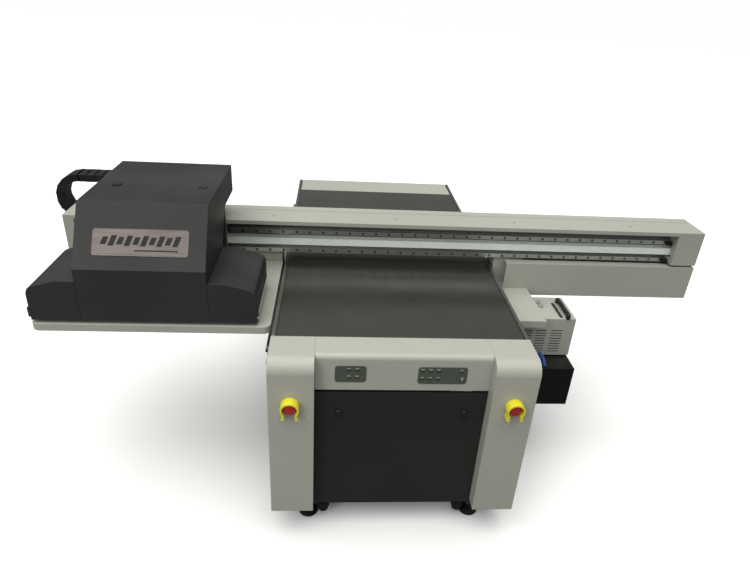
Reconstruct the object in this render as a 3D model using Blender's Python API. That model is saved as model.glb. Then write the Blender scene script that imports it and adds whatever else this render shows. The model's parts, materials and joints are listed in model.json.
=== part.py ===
"""Flatbed UV printer: a vacuum table on a cabinet, and a moving gantry that carries a carriage with a hooded print head.

Numbers below are in the table's own frame: X = 0 at the middle of the table, Y = 0 at its front edge, Z = 0 at the floor.
Every object is placed SHIFT away from that, so that the origin is under the middle of the whole machine.
"""

import math

import bmesh
import bpy

SHIFT = (0.0345, -0.8258, 0.0)
GAP = 0.0003
SHEET = 0.0025

# Table and cabinet
TABLE_HALF = 0.485
TABLE_LENGTH = 1.862
TABLE_TOP = 0.850
TABLE_DEPTH = 0.052
COLUMN_OUT = 0.486
COLUMN_IN = 0.322
COLUMN_FACE = -0.172
CABINET_BOTTOM = 0.137
ESTOP_X = 0.4065
ESTOP_Z = 0.670
LOCK_X = (-0.232, 0.241)
LOCK_Z = 0.594
FOOT_X = 0.3445
FOOT_Y = (-0.045, 1.800)

# Gantry
BEAM_LEFT = -1.420
BEAM_RIGHT = 1.457
BEAM_FRONT = 0.585
BEAM_BACK = 0.774
BEAM_WALL = 0.652
BEAM_BOTTOM = 0.893
COVER_BOTTOM = 1.048
COVER_TOP = 1.066
RAIL_FACE = 0.634
RAIL_Z = (0.996, 0.907)
BELT_Z = (0.940, 0.972)
PULLEY_Y = 0.641
PULLEY_R = 0.0185
PULLEY_X = (-1.3945, 1.396)
Y_RAIL_X = 0.5195
Y_SCREW_Z = 0.632
CHAIN_CENTRE = (-1.416, 1.070)
CHAIN_OUT = 0.110
CHAIN_IN = 0.075
CHAIN_Y = (0.790, 0.880)
CHAIN_ANCHOR = 0.0

# Head
HEAD_X = -0.950
HOOD_HALF = 0.2315
HOOD_TOP = 1.272
HOOD_FRONT = 0.072
HOOD_SEAM = 0.400
HOOD_BACK = 0.717
HEAD_BOTTOM = 0.857


def clear_scene():
    for old in list(bpy.data.objects):
        bpy.data.objects.remove(old, do_unlink=True)


def material(name, colour, metallic=0.0, roughness=0.5):
    mat = bpy.data.materials.new(name)
    mat.use_nodes = True
    shader = mat.node_tree.nodes["Principled BSDF"]
    shader.inputs["Base Color"].default_value = (*colour, 1.0)
    shader.inputs["Metallic"].default_value = metallic
    shader.inputs["Roughness"].default_value = roughness
    return mat


def place(name, verts, faces, mat, origin=(0.0, 0.0, 0.0)):
    """One closed mesh, given in the table's frame, with its object's origin at the point given."""
    mesh = bpy.data.meshes.new(name)
    local = [tuple(p[i] - origin[i] for i in range(3)) for p in verts]
    mesh.from_pydata(local, [], faces)
    bm = bmesh.new()
    bm.from_mesh(mesh)
    bmesh.ops.remove_doubles(bm, verts=bm.verts, dist=1e-6)
    bmesh.ops.recalc_face_normals(bm, faces=bm.faces)
    bm.to_mesh(mesh)
    bm.free()
    mesh.materials.append(mat)
    obj = bpy.data.objects.new(name, mesh)
    obj.location = tuple(SHIFT[i] + origin[i] for i in range(3))
    bpy.context.scene.collection.objects.link(obj)
    return obj


def swap(point, axis, along):
    """A 2-D outline point and a distance along the axis, as a 3-D point. The outline is (Y, Z), (X, Z) or (X, Y)."""
    a, b = point
    if axis == "X":
        return (along, a, b)
    if axis == "Y":
        return (a, along, b)
    return (a, b, along)


def prism(name, outline, axis, low, high, mat, hole=None, origin=(0.0, 0.0, 0.0)):
    """An outline pushed along an axis, with one hole through it if asked."""
    bm = bmesh.new()
    for loop in [outline] + ([hole] if hole else []):
        low_ring = [bm.verts.new(swap(p, axis, low)) for p in loop]
        high_ring = [bm.verts.new(swap(p, axis, high)) for p in loop]
        count = len(loop)
        for i in range(count):
            j = (i + 1) % count
            bm.faces.new([low_ring[i], low_ring[j], high_ring[j], high_ring[i]])
    which = "XYZ".index(axis)
    for end in (low, high):
        rim = [e for e in bm.edges if all(abs(v.co[which] - end) < 1e-6 for v in e.verts)]
        bmesh.ops.triangle_fill(bm, use_beauty=True, use_dissolve=False, edges=rim)
    verts = [tuple(v.co) for v in bm.verts]
    bm.verts.index_update()
    faces = [[v.index for v in f.verts] for f in bm.faces]
    bm.free()
    return place(name, verts, faces, mat, origin)


def box(name, xs, ys, zs, mat, origin=(0.0, 0.0, 0.0)):
    outline = [(xs[0], ys[0]), (xs[1], ys[0]), (xs[1], ys[1]), (xs[0], ys[1])]
    return prism(name, outline, "Z", zs[0], zs[1], mat, origin=origin)


def cells(name, xs, ys, zs, solid, mat, origin=(0.0, 0.0, 0.0)):
    """The skin of a block that is cut into cells: solid(x, y, z) says whether the cell with that middle is filled."""
    mid = [[(a + b) / 2 for a, b in zip(s, s[1:])] for s in (xs, ys, zs)]
    full = {
        (i, j, k)
        for i, x in enumerate(mid[0])
        for j, y in enumerate(mid[1])
        for k, z in enumerate(mid[2])
        if solid(x, y, z)
    }
    verts = []
    index = {}
    faces = []

    def corner(i, j, k):
        if (i, j, k) not in index:
            index[(i, j, k)] = len(verts)
            verts.append((xs[i], ys[j], zs[k]))
        return index[(i, j, k)]

    sides = {
        (-1, 0, 0): [(0, 0, 0), (0, 0, 1), (0, 1, 1), (0, 1, 0)],
        (1, 0, 0): [(1, 0, 0), (1, 1, 0), (1, 1, 1), (1, 0, 1)],
        (0, -1, 0): [(0, 0, 0), (1, 0, 0), (1, 0, 1), (0, 0, 1)],
        (0, 1, 0): [(0, 1, 0), (0, 1, 1), (1, 1, 1), (1, 1, 0)],
        (0, 0, -1): [(0, 0, 0), (0, 1, 0), (1, 1, 0), (1, 0, 0)],
        (0, 0, 1): [(0, 0, 1), (1, 0, 1), (1, 1, 1), (0, 1, 1)],
    }
    for i, j, k in sorted(full):
        for (di, dj, dk), ring in sides.items():
            if (i + di, j + dj, k + dk) not in full:
                faces.append([corner(i + a, j + b, k + c) for a, b, c in ring])
    return place(name, verts, faces, mat, origin)


def spin(name, profile, centre, axis, mat, steps=32):
    """A solid of revolution: profile is [(radius, distance along the axis)] from one end on the axis to the other."""
    verts = []
    faces = []
    rings = []
    for radius, along in profile:
        if radius < 1e-6:
            rings.append([len(verts)])
            verts.append((0.0, 0.0, along))
            continue
        rings.append(list(range(len(verts), len(verts) + steps)))
        for s in range(steps):
            turn = 2 * math.pi * s / steps
            verts.append((radius * math.cos(turn), radius * math.sin(turn), along))
    for one, two in zip(rings, rings[1:]):
        for s in range(steps):
            n = (s + 1) % steps
            ring = [one[s % len(one)], one[n % len(one)], two[n % len(two)], two[s % len(two)]]
            faces.append(list(dict.fromkeys(ring)))
    order = {"X": (2, 0, 1), "Y": (1, 2, 0), "Z": (0, 1, 2)}[axis]
    verts = [tuple(v[order[i]] + centre[i] for i in range(3)) for v in verts]
    return place(name, verts, faces, mat, centre)


def arc(centre, radius, start, end, steps):
    """Points on an arc, in degrees from the outline's first axis."""
    out = []
    for s in range(steps + 1):
        turn = math.radians(start + (end - start) * s / steps)
        out.append((centre[0] + radius * math.cos(turn), centre[1] + radius * math.sin(turn)))
    return out


def cut(obj, cutter):
    """Takes the cutter away from the object, and leaves the cutter out of the model."""
    cutter.hide_render = True
    cutter.display_type = "WIRE"
    step = obj.modifiers.new("Cut", "BOOLEAN")
    step.operation = "DIFFERENCE"
    step.solver = "EXACT"
    step.object = cutter


def mirrored(values, about=0.0):
    return sorted(2 * about - v for v in values)


# ------------------------------------------------------------------ cabinet


def base_frame(mat):
    """Welded tube frame: three pairs of posts, long rails at the top and bottom, and cross tubes out to the ledges."""
    xs = [-0.4825, -0.4425, -0.3645, -0.3245, 0.3245, 0.3645, 0.4425, 0.4825]
    ys = [-0.100, -0.060, 0.860, 0.900, 1.780, 1.820]
    zs = [0.100, 0.136, 0.757, 0.797]

    def solid(x, y, z):
        cross = y < -0.06 or 0.86 < y < 0.90 or y > 1.78
        post = 0.3245 < abs(x) < 0.3645
        if z > 0.757:
            return cross or post or abs(x) > 0.4425
        if z < 0.136:
            return abs(x) < 0.3645 and (cross or post)
        return post and cross

    return cells("base_frame", xs, ys, zs, solid, mat)


def front_column(side, mat, dark):
    """Bent sheet column, open at the back and the bottom, with a hole for the emergency stop's stem."""
    outer = [(-0.0003, TABLE_TOP)] + arc((-0.119, 0.797), 0.053, 90, 180, 9)
    outer += [(COLUMN_FACE, CABINET_BOTTOM), (-0.0003, CABINET_BOTTOM)]
    t = SHEET
    inner = [(0.02, TABLE_TOP - t)] + arc((-0.119, 0.797), 0.053 - t, 90, 180, 9)
    inner += [(COLUMN_FACE + t, 0.05), (0.02, 0.05)]
    low, high = (COLUMN_IN, COLUMN_OUT) if side == "right" else (-COLUMN_OUT, -COLUMN_IN)
    obj = prism(f"{side}_front_column", outer, "X", low, high, mat)
    hollow = prism(f"{side}_column_hollow", inner, "X", low + t, high - t, dark)
    cut(obj, hollow)
    middle = COLUMN_IN if side == "right" else -COLUMN_IN
    wall = (middle - 0.01, middle + 0.01)
    cut(obj, box(f"{side}_frame_window", wall, (-0.104, 0.020), (0.050, 0.800), dark))
    x = ESTOP_X if side == "right" else -ESTOP_X
    profile = [(0.0, -0.03), (0.0118, -0.03), (0.0118, 0.03), (0.0, 0.03)]
    hole = spin(f"{side}_stem_hole", profile, (x, COLUMN_FACE, ESTOP_Z), "Y", dark, 24)
    cut(obj, hole)


def front_fascia(mat):
    t = SHEET
    outer = [(-0.0003, TABLE_TOP)] + arc((-0.100, 0.830), 0.020, 90, 180, 5) + [(-0.120, 0.700)]
    inner = [(-0.120 + t, 0.700)] + arc((-0.100, 0.830), 0.020 - t, 180, 90, 5)
    inner += [(-0.0003, TABLE_TOP - t)]
    edge = COLUMN_IN - GAP
    prism("front_fascia", outer + inner, "X", -edge, edge, mat)


def side_panels(mat):
    for side, x in (("left", -1), ("right", 1)):
        xs = sorted((x * 0.4832, x * 0.4857))
        box(f"{side}_side_panel", xs, (0.0, TABLE_LENGTH), (CABINET_BOTTOM, 0.5997), mat)
    box("rear_panel", (-0.4829, 0.4829), (1.8585, 1.861), (CABINET_BOTTOM, 0.7975), mat)


def vacuum_table(mat):
    """Top plate with a groove inside each edge, on a grid of ribs that stays open below."""
    groove = [-0.4700, -0.4655, 0.4655, 0.4700]
    ribs = [-TABLE_HALF, *groove[:2], -0.006, 0.006, *groove[2:], TABLE_HALF]
    ys = [0.0, 0.012, 0.615, 0.627, 1.235, 1.247, 1.850, TABLE_LENGTH]
    zs = [TABLE_TOP - TABLE_DEPTH, TABLE_TOP - 0.012, TABLE_TOP - 0.005, TABLE_TOP]

    def solid(x, y, z):
        in_groove = 0.4655 < abs(x) < 0.4700
        if z > TABLE_TOP - 0.005:
            return not in_groove
        if z > TABLE_TOP - 0.012:
            return True
        rim = abs(x) > 0.4655 or y < 0.012 or y > 1.850
        return rim or abs(x) < 0.006 or 0.615 < y < 0.627 or 1.235 < y < 1.247

    cells("vacuum_table", ribs, ys, zs, solid, mat)


def side_ledge(side, mat, steel, screw):
    """Channel beside the table that carries the gantry's rail on top and its screw inside."""
    right = [(0.4862, 0.600), (0.530, 0.600), (0.530, 0.606), (0.4912, 0.606), (0.4912, 0.660)]
    right += [(0.530, 0.660), (0.530, 0.668), (0.4912, 0.668), (0.4912, 0.795), (0.4862, 0.795)]
    rail = [(0.512, 0.6683), (0.527, 0.6683), (0.527, 0.673), (0.5245, 0.6755), (0.527, 0.678)]
    rail += [(0.527, 0.6833), (0.512, 0.6833), (0.512, 0.678), (0.5145, 0.6755), (0.512, 0.673)]
    sign = 1
    if side == "left":
        sign = -1
        right = [(-x, z) for x, z in reversed(right)]
        rail = [(-x, z) for x, z in reversed(rail)]
    prism(f"{side}_rail_ledge", right, "Y", 0.170, TABLE_LENGTH, mat)
    prism(f"{side}_gantry_rail", rail, "Y", 0.175, 1.852, steel)
    profile = [(0.0, -0.83), (0.005, -0.83), (0.005, -0.815), (0.008, -0.815)]
    profile += [(0.008, 0.815), (0.005, 0.815), (0.005, 0.83), (0.0, 0.83)]
    centre = (sign * Y_RAIL_X, 1.011, Y_SCREW_Z)
    spin(f"{side}_gantry_screw", profile, centre, "Y", screw, 20)


def rounded_panel(name, xs, zs, ys, radius, mat):
    outline = arc((xs[1] - radius, zs[1] - radius), radius, 0, 90, 4)
    outline += arc((xs[0] + radius, zs[1] - radius), radius, 90, 180, 4)
    outline += arc((xs[0] + radius, zs[0] + radius), radius, 180, 270, 4)
    outline += arc((xs[1] - radius, zs[0] + radius), radius, 270, 360, 4)
    return prism(name, outline, "Y", ys[0], ys[1], mat)


def control_panels(mat):
    ys = (-0.1218, -0.1203)
    rounded_panel("left_control_panel", (-0.250, -0.137), (0.736, 0.807), ys, 0.012, mat)
    rounded_panel("right_control_panel", (0.050, 0.231), (0.731, 0.805), ys, 0.012, mat)


def emergency_stop(side, yellow, red):
    """Horseshoe shroud, open at the bottom, round a mushroom button whose stem goes through the column."""
    x = ESTOP_X if side == "right" else -ESTOP_X
    z = ESTOP_Z
    outline = arc((x, z + 0.002), 0.034, -38, 218, 20)
    outline += [(x - 0.031, z - 0.041), (x - 0.0195, z - 0.041)]
    outline += arc((x, z), 0.027, 225, -45, 20)
    outline += [(x + 0.0195, z - 0.041), (x + 0.031, z - 0.041)]
    face = COLUMN_FACE - GAP
    prism(f"{side}_stop_shroud", outline, "Y", face - 0.038, face, yellow)
    profile = [(0.0, 0.022), (0.010, 0.022), (0.010, -0.014), (0.0220, -0.015), (0.0238, -0.019)]
    profile += [(0.0232, -0.026), (0.018, -0.0305), (0.0095, -0.0325), (0.0, -0.033)]
    spin(f"{side}_stop_button", profile, (x, COLUMN_FACE, z), "Y", red, 28)


def front_door(mat, black):
    """Folded sheet door with a rim behind it, hinged along its lower front edge."""
    xs = [-0.3195, -0.3170, 0.3170, 0.3195]
    ys = [-0.1180, -0.1160, -0.1060]
    zs = [0.122, 0.1245, 0.6855, 0.688]

    def solid(x, y, z):
        rim = abs(x) > 0.317 or z < 0.1245 or z > 0.6855
        return y < -0.116 or rim

    cells("front_door", xs, ys, zs, solid, mat, origin=(0.0, -0.118, 0.122))
    for side, x in zip(("left", "right"), LOCK_X):
        profile = [(0.0, -0.0003), (0.0135, -0.0003), (0.015, -0.003), (0.015, -0.008)]
        profile += [(0.012, -0.012), (0.0, -0.0125)]
        spin(f"{side}_door_lock", profile, (x, -0.118, LOCK_Z), "Y", black, 24)


def inside_cabinet(mat, motor):
    xs = (-0.3242, 0.3242)
    box("cabinet_floor", xs, (-0.0597, 0.8597), (0.118, 0.121), mat)
    centre = (0.40, 0.265)
    pump = arc(centre, 0.105, -50, 230, 22)
    pump += [(0.3325, 0.150), (0.295, 0.150), (0.295, 0.1213), (0.505, 0.1213), (0.505, 0.150), (0.4675, 0.150)]
    prism("vacuum_pump", pump, "X", -0.270, 0.010, motor)


def levelling_feet(mat):
    profile = [(0.0, 0.0), (0.0385, 0.0), (0.0405, 0.003), (0.037, 0.013), (0.012, 0.022)]
    profile += [(0.0065, 0.024), (0.0065, 0.0997), (0.0, 0.0997)]
    for row, y in zip(("front", "rear"), FOOT_Y):
        for side, x in (("left", -FOOT_X), ("right", FOOT_X)):
            spin(f"{row}_{side}_foot", profile, (x, y, 0.0), "Z", mat, 24)


# ------------------------------------------------------------------ gantry


def leg(side, mat):
    """Leg, foot plate, two bearing blocks round the side rail, and the screw's nut on an arm. The right one also has a hanger."""
    xs = [0.4970, 0.5000, 0.5050, 0.5110, 0.5280, 0.5340, 0.5390, 0.5440, 0.5495, 0.5535, 0.5560, 0.5595, 0.640, 0.662]
    ys = [0.282, 0.300, 0.360, 0.370, 0.450, 0.500, 0.560, 0.645, 0.700, 0.770, 0.800]
    zs = [0.330, 0.617, 0.6235, 0.6405, 0.647, 0.674, 0.6840, 0.728, 0.762, 0.8927]

    def solid(x, y, z):
        if z > 0.762:
            return 0.544 < x < 0.640 and 0.645 < y < 0.770
        if z > 0.728:
            return True
        if 0.556 < x < 0.5595:
            return side == "right" and 0.370 < y < 0.560
        if 0.5495 < x < 0.5535:
            return 0.500 < y < 0.560 and z > 0.617
        if z > 0.674:
            along = 0.300 < y < 0.370 or 0.700 < y < 0.770
            return along and 0.500 < x < 0.539 and (z > 0.684 or not 0.511 < x < 0.528)
        if 0.617 < z < 0.647 and 0.500 < y < 0.560 and 0.505 < x < 0.5535:
            return x > 0.534 or not (0.511 < x < 0.528 and 0.6235 < z < 0.6405)
        return False

    if side == "left":
        flipped = [-x for x in reversed(xs)]
        cells("left_leg", flipped, ys, zs, lambda x, y, z: solid(-x, y, z), mat)
    else:
        cells("right_leg", xs, ys, zs, solid, mat)


def beam(mat):
    outer = [(BEAM_WALL, BEAM_BOTTOM), (BEAM_BACK - 0.002, BEAM_BOTTOM), (BEAM_BACK - 0.002, 1.046)]
    outer += [(BEAM_WALL, 1.046), (BEAM_WALL, 0.978), (0.668, 0.978), (0.668, 0.934), (BEAM_WALL, 0.934)]
    hollow = [(0.674, 0.901), (0.764, 0.901), (0.764, 1.038), (0.674, 1.038)]
    prism("gantry_beam", outer, "X", -1.375, 1.3355, mat, hole=hollow)


def beam_covers(mat):
    t = 0.002
    outer = [(BEAM_FRONT, COVER_BOTTOM), (BEAM_FRONT, COVER_TOP), (BEAM_BACK, COVER_TOP), (BEAM_BACK, COVER_BOTTOM)]
    inner = [(BEAM_BACK - t, COVER_BOTTOM), (BEAM_BACK - t, COVER_TOP - t)]
    inner += [(BEAM_FRONT + t, COVER_TOP - t), (BEAM_FRONT + t, COVER_BOTTOM)]
    prism("beam_top_cover", outer + inner, "X", BEAM_LEFT, BEAM_RIGHT, mat)
    end_cover("left_end_cover", BEAM_LEFT, -1.3753, False, mat)
    end_cover("right_end_cover", 1.3358, BEAM_RIGHT, True, mat)


def end_cover(name, low, high, right, mat):
    """Box at the beam's end, open at the top, with a window in its inner wall for the belt."""
    t = SHEET
    xs = [low, low + t, high - t, high]
    ys = [BEAM_FRONT, BEAM_FRONT + t, 0.612, 0.672, BEAM_BACK - t, BEAM_BACK]
    zs = [BEAM_BOTTOM + 0.0075, BEAM_BOTTOM + 0.010, 0.932, 0.980, COVER_BOTTOM - GAP]

    def solid(x, y, z):
        inner = x < xs[1] if right else x > xs[2]
        if inner and 0.612 < y < 0.672 and 0.932 < z < 0.980:
            return False
        return z < zs[1] or x < xs[1] or x > xs[2] or y < ys[1] or y > ys[4]

    cells(name, xs, ys, zs, solid, mat)


def beam_skirt(mat):
    """Box below the beam at the right, open at the top behind its front flange, cut away over the foot plate."""
    t = SHEET
    xs = [0.5437, 0.6645, 0.667, BEAM_RIGHT - t, BEAM_RIGHT]
    ys = [BEAM_FRONT, BEAM_FRONT + t, 0.628, BEAM_BACK - t, BEAM_BACK]
    zs = [0.725, 0.725 + t, 0.7625, 0.8905 - t, 0.8905]

    def solid(x, y, z):
        if x < 0.6645:
            return y < ys[1] and z > 0.7625
        wall = z < zs[1] or x > xs[3] or y < ys[1] or y > ys[3] or x < 0.667
        if z > zs[3]:
            return y < 0.628 or x > xs[3] or y > ys[3]
        return wall and not (x < 0.667 and z > 0.7625 and y > ys[1])

    cells("beam_skirt", xs, ys, zs, solid, mat)


def x_rails(mat):
    for name, z in zip(("upper_rail", "lower_rail"), RAIL_Z):
        outline = [(0.6517, z + 0.010), (0.6455, z + 0.010), (0.643, z + 0.007), (0.640, z + 0.007)]
        outline += [(0.637, z + 0.010), (RAIL_FACE, z + 0.010), (RAIL_FACE, z - 0.010), (0.637, z - 0.010)]
        outline += [(0.640, z - 0.007), (0.643, z - 0.007), (0.6455, z - 0.010), (0.6517, z - 0.010)]
        prism(name, outline, "X", -1.370, 1.330, mat)


def carriage_drive(belt_mat, pulley_mat, motor_mat):
    """Flat toothed belt round two pulleys with upright axes, and the motor below the right one."""
    inside = PULLEY_R + GAP
    outside = inside + 0.0017
    left, right = PULLEY_X

    def loop(radius):
        ends = arc((right, PULLEY_Y), radius, -90, 90, 12)
        return ends + arc((left, PULLEY_Y), radius, 90, 270, 12)

    prism("drive_belt", loop(outside), "Z", BELT_Z[0], BELT_Z[1], belt_mat, hole=loop(inside))
    profile = [(0.0, 0.0), (0.021, 0.0), (0.021, 0.003), (PULLEY_R, 0.003), (PULLEY_R, 0.037)]
    profile += [(0.021, 0.037), (0.021, 0.040), (0.006, 0.040), (0.006, 0.050), (0.0, 0.050)]
    for name, x in (("idler_pulley", left), ("drive_pulley", right)):
        spin(name, profile, (x, PULLEY_Y, BELT_Z[0] - 0.004), "Z", pulley_mat, 28)
    x = right
    motor = [(x - 0.040, 0.601), (x + 0.040, 0.601), (x + 0.040, 0.681), (x - 0.040, 0.681)]
    prism("carriage_motor", motor, "Z", 0.770, 0.8875, motor_mat)


def parking_tray(mat, dark):
    """Shallow tray, open below, with round front corners and a notch for the left leg."""
    left, right, front, back = -1.365, -0.495, 0.065, 0.800
    outline = arc((right - 0.028, front + 0.028), 0.028, -90, 0, 5)
    outline += [(right, 0.643), (-0.652, 0.643), (-0.652, 0.786), (-0.652, back), (left, back)]
    outline += arc((left + 0.028, front + 0.028), 0.028, 180, 270, 5)
    tray = prism("parking_tray", outline, "Z", 0.815, 0.845, mat)
    t = SHEET
    inner = [(right - t, front + 0.03), (right - t, 0.643 - t), (-0.652 - t, 0.643 - t)]
    inner += [(-0.652 - t, back - t), (left + t, back - t), (left + t, front + 0.03)]
    inner += [(left + 0.03, front + t), (right - 0.03, front + t)]
    cut(tray, prism("tray_hollow", inner, "Z", 0.800, 0.8425, dark))


def cooler(white, black):
    """Louvred box on feet, open at the back, with slots through its front, and its bar handle."""
    xs = [0.560, 0.5625, 0.600, 0.639, 0.657, 0.704, 0.727, 0.778, 0.8275, 0.830]
    ys = [0.360, 0.3625, 0.560]
    zs = [0.535, 0.5375]
    for row in range(9):
        zs += [0.553 + row * 0.0137, 0.558 + row * 0.0137]
    zs += [0.725, 0.7275]
    slots = [(zs[2 + 2 * r], zs[3 + 2 * r]) for r in range(9)]

    def solid(x, y, z):
        if y < 0.3625 and any(a < z < b for a, b in slots):
            return not (0.600 < x < 0.639 or 0.657 < x < 0.704 or 0.727 < x < 0.778)
        return z < 0.5375 or z > 0.725 or x < 0.5625 or x > 0.8275 or y < 0.3625

    cells("cooler", xs, ys, zs, solid, white)
    handle = [(0.352, 0.7280), (0.352, 0.746), (0.360, 0.754), (0.510, 0.754), (0.518, 0.746), (0.518, 0.7280)]
    handle += [(0.500, 0.7280), (0.500, 0.739), (0.370, 0.739), (0.370, 0.7280)]
    prism("cooler_handle", handle, "X", 0.782, 0.798, black)
    xs = [0.560, 0.5625, 0.8275, 0.830]
    ys = [0.265, 0.2675, 0.5775, 0.580]
    zs = [0.325, 0.5225, 0.525]

    def shell(x, y, z):
        return z > 0.5225 or x < 0.5625 or x > 0.8275 or y < 0.2675 or y > 0.5775

    cells("power_box", xs, ys, zs, shell, black)


def energy_chain(mat, sheet):
    """Lower run on its trough, half-round bend, and upper run that the slider pulls."""
    cx, cz = CHAIN_CENTRE
    low = (cz - CHAIN_OUT, cz - CHAIN_IN)
    high = (cz + CHAIN_IN, cz + CHAIN_OUT)
    trough = [(0.7745, 0.930), (0.884, 0.930), (0.884, 0.975), (0.8815, 0.975), (0.8815, 0.9325)]
    trough += [(0.777, 0.9325), (0.777, 0.957), (0.7745, 0.957)]
    prism("chain_trough", trough, "X", -1.400, 0.900, sheet)
    box("chain_lower_run", (cx + GAP, CHAIN_ANCHOR), CHAIN_Y, low, mat)
    box("chain_upper_run", (cx + GAP, -0.870), CHAIN_Y, high, mat)
    ring = arc((cx, cz), CHAIN_OUT, 90, 270, 20) + arc((cx, cz), CHAIN_IN, 270, 90, 20)
    prism("chain_bend", ring, "Y", CHAIN_Y[0], CHAIN_Y[1], mat)


# ------------------------------------------------------------------ carriage and head


def slider(mat):
    """Plate in front of the beam with a bearing block round each rail, and an arm over the beam to the chain."""
    top, low = RAIL_Z
    outline = [(0.5600, 0.888), (0.5740, 0.888)]
    for z in (low, top):
        outline += [(0.574, z - 0.014), (0.6485, z - 0.014), (0.6485, z - 0.0104), (0.6336, z - 0.0104)]
        outline += [(0.6336, z + 0.0104), (0.6485, z + 0.0104), (0.6485, z + 0.014), (0.574, z + 0.014)]
    outline += [(0.574, 1.090), (0.888, 1.090), (0.888, 1.1447), (0.782, 1.1447), (0.782, 1.098), (0.560, 1.098)]
    prism("slider", outline, "X", HEAD_X - 0.12, HEAD_X + 0.08, mat)


def head_plate(mat):
    """Base plate with windows for the heads and lamps, its upright behind, and two posts under the hood."""
    left = mirrored([-0.555, -0.573, -0.656], HEAD_X)
    xs = left + [-1.175, -1.150, -1.050, -0.850, -0.750, -0.725, -0.656, -0.573, -0.555]
    ys = [0.095, 0.105, 0.160, 0.365, 0.396, 0.540, 0.5565]
    zs = [0.873, 0.885, 1.080, 1.2690]

    def solid(x, y, z):
        far = abs(x - HEAD_X)
        if z < 0.885:
            heads = far < 0.100 and 0.160 < y < 0.396
            lamps = 0.294 < far < 0.377 and 0.105 < y < 0.365
            return not heads and not lamps and not (far > 0.225 and y > 0.396)
        if y < 0.540:
            return False
        if z < 1.080:
            return far < 0.225
        return 0.200 < far < 0.225

    cells("head_plate", xs, ys, zs, solid, mat)


def flanged_block(name, inner, outer, zs, mat):
    """Block that drops through a window and rests on a flange: inner and outer are (x0, x1, y0, y1)."""
    xs = [outer[0], inner[0], inner[1], outer[1]]
    ys = [outer[2], inner[2], inner[3], outer[3]]

    def solid(x, y, z):
        inside = inner[0] < x < inner[1] and inner[2] < y < inner[3]
        return inside or zs[1] < z < zs[2]

    cells(name, xs, ys, zs, solid, mat)


def head_parts(heads, lamp):
    zs = [0.8585, 0.8853, 0.892, 0.985]
    flanged_block("print_heads", (-1.045, -0.855, 0.165, 0.391), (-1.065, -0.835, 0.145, 0.415), zs, heads)
    zs = [0.8605, 0.8853, 0.890, 0.955]
    inner, outer = (-0.651, -0.578, 0.110, 0.360), (-0.668, -0.561, 0.1000, 0.372)
    flanged_block("right_uv_lamp", inner, outer, zs, lamp)
    swap_in = (*mirrored(inner[:2], HEAD_X), *inner[2:])
    swap_out = (*mirrored(outer[:2], HEAD_X), *outer[2:])
    flanged_block("left_uv_lamp", swap_in, swap_out, zs, lamp)


def hood(mat, dark, plate):
    t = SHEET
    low, high = HEAD_X - HOOD_HALF, HEAD_X + HOOD_HALF
    hinge = (HEAD_X, HOOD_SEAM, HOOD_TOP)
    outer = [(HOOD_FRONT, HEAD_BOTTOM), (HOOD_FRONT, 1.067), (0.210, HOOD_TOP), (HOOD_SEAM, HOOD_TOP)]
    outer += [(HOOD_SEAM, 1.022), (HOOD_FRONT + t, 1.022), (HOOD_FRONT + t, HEAD_BOTTOM)]
    inner = [(HOOD_FRONT + t, 0.80), (HOOD_FRONT + t, 1.0663), (0.2115, HOOD_TOP - t), (0.45, HOOD_TOP - t)]
    inner += [(0.45, 0.80)]
    front = prism("hood_front_cover", outer, "X", low, high, mat, origin=hinge)
    cut(front, prism("front_hollow", inner, "X", low + t, high - t, dark))
    outer = [(HOOD_SEAM + GAP, HOOD_TOP), (HOOD_BACK, HOOD_TOP), (HOOD_BACK, 1.155), (0.505, 1.155)]
    outer += [(HOOD_SEAM + GAP, 1.005)]
    inner = [(0.38, HOOD_TOP - t), (HOOD_BACK - t, HOOD_TOP - t), (HOOD_BACK - t, 0.9), (0.38, 0.9)]
    rear = prism("hood_rear_cover", outer, "X", low, high, mat)
    cut(rear, prism("rear_hollow", inner, "X", low + t, high - t, dark))
    nameplate(hinge, plate)


def nameplate(hinge, mat):
    """Thin plate along the hood's slope, a hair in front of it."""
    slope = (0.210 - HOOD_FRONT, HOOD_TOP - 1.067)
    length = math.hypot(*slope)
    along = (slope[0] / length, slope[1] / length)
    out = (-along[1], along[0])
    corners = []
    for s, d in ((0.052, 0.0018), (0.150, 0.0018), (0.150, 0.0003), (0.052, 0.0003)):
        corners.append((HOOD_FRONT + along[0] * s + out[0] * d, 1.067 + along[1] * s + out[1] * d))
    prism("nameplate", corners, "X", -1.117, -0.781, mat, origin=hinge)


def lamp_covers(mat, dark):
    """Low covers either side of the hood, open below and towards the head."""
    outer = [(-0.7180, HEAD_BOTTOM), (-0.7180, 1.019), (-0.650, 1.019), (-0.564, 0.994), (-0.550, 0.985)]
    outer += [(-0.543, 0.968), (-0.542, 0.930), (-0.542, HEAD_BOTTOM)]
    t = SHEET
    inner = [(-0.730, 0.80), (-0.730, 1.019 - t), (-0.6505, 1.019 - t), (-0.5652, 0.9915), (-0.552, 0.983)]
    inner += [(-0.5455, 0.967), (-0.5445, 0.930), (-0.5445, 0.80)]
    for side in ("right", "left"):
        shape, space = outer, inner
        if side == "left":
            shape = [(2 * HEAD_X - x, z) for x, z in reversed(outer)]
            space = [(2 * HEAD_X - x, z) for x, z in reversed(inner)]
        cover = prism(f"{side}_lamp_cover", shape, "Y", HOOD_FRONT, HOOD_SEAM, mat)
        cutter = prism(f"{side}_lamp_hollow", space, "Y", HOOD_FRONT + t, HOOD_SEAM - t, dark)
        cut(cover, cutter)


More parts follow.
